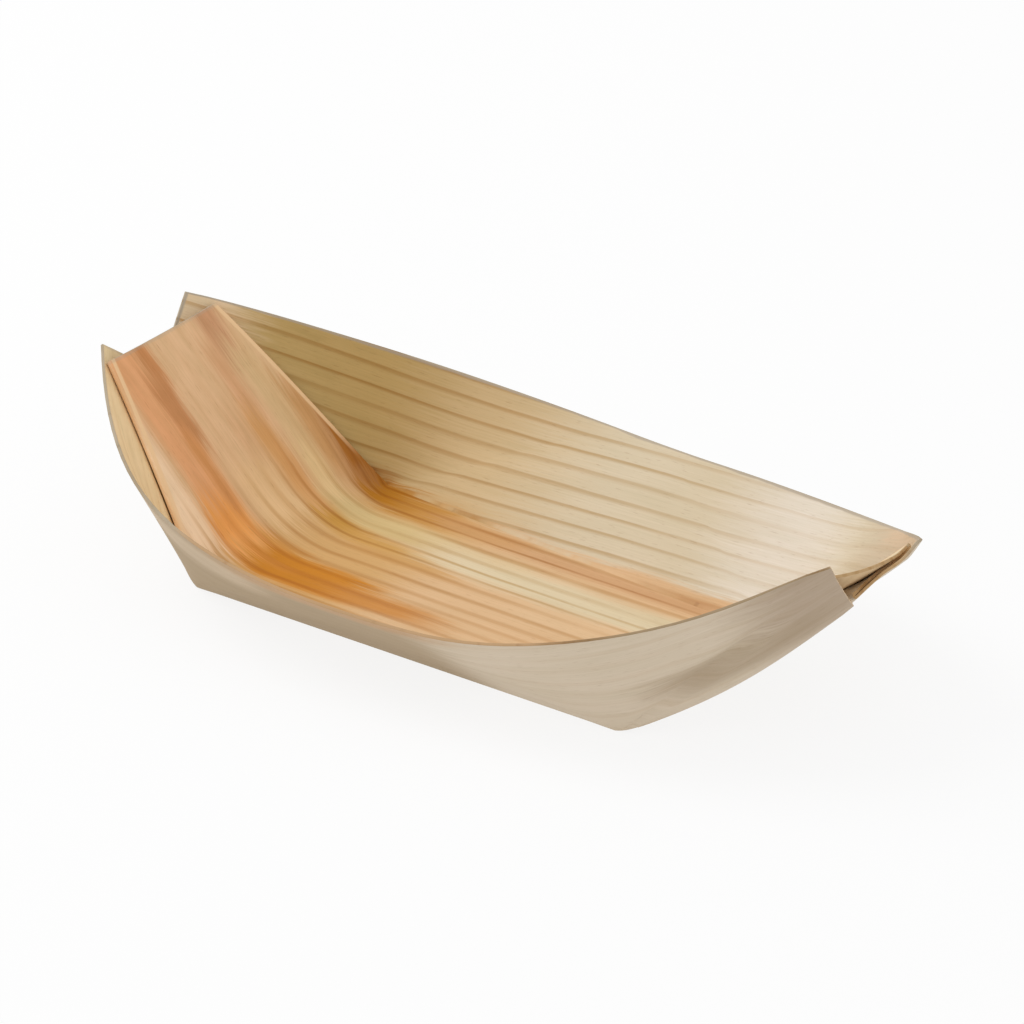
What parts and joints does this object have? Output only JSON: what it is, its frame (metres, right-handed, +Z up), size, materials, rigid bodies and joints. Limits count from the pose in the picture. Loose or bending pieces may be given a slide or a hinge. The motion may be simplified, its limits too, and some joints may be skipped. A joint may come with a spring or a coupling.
{
  "type": "wooden snack boat",
  "caption": "Open boat-shaped snack tray folded from thin pine veneer, with a flat floor, curved end ramps, leaning side walls and pointed ears.",
  "frame": {"origin": "centre of the floor's underside, which the boat rests on", "axes": "+X along the boat towards its right end, +Y across it towards the back wall, +Z up"},
  "size_m": [0.1661, 0.0918, 0.0373],
  "materials": {
    "veneer": "bare planed pine veneer, matt",
    "glue": "dried, clear to cream"
  },
  "bodies": {
    "root": {"floor_panel": "veneer", "left_ramp": "veneer", "right_ramp": "veneer", "front_wall": "veneer", "back_wall": "veneer", "corner_pleat_front_left": "veneer", "corner_pleat_back_left": "veneer", "corner_pleat_front_right": "veneer", "corner_pleat_back_right": "veneer", "glue_ramp_to_pleat_front_left": "glue", "glue_ramp_to_pleat_back_left": "glue", "glue_ramp_to_pleat_front_right": "glue", "glue_ramp_to_pleat_back_right": "glue", "glue_pleat_to_wall_front_left": "glue", "glue_pleat_to_wall_back_left": "glue", "glue_pleat_to_wall_front_right": "glue", "glue_pleat_to_wall_back_right": "glue"}
  },
  "joints": []
}
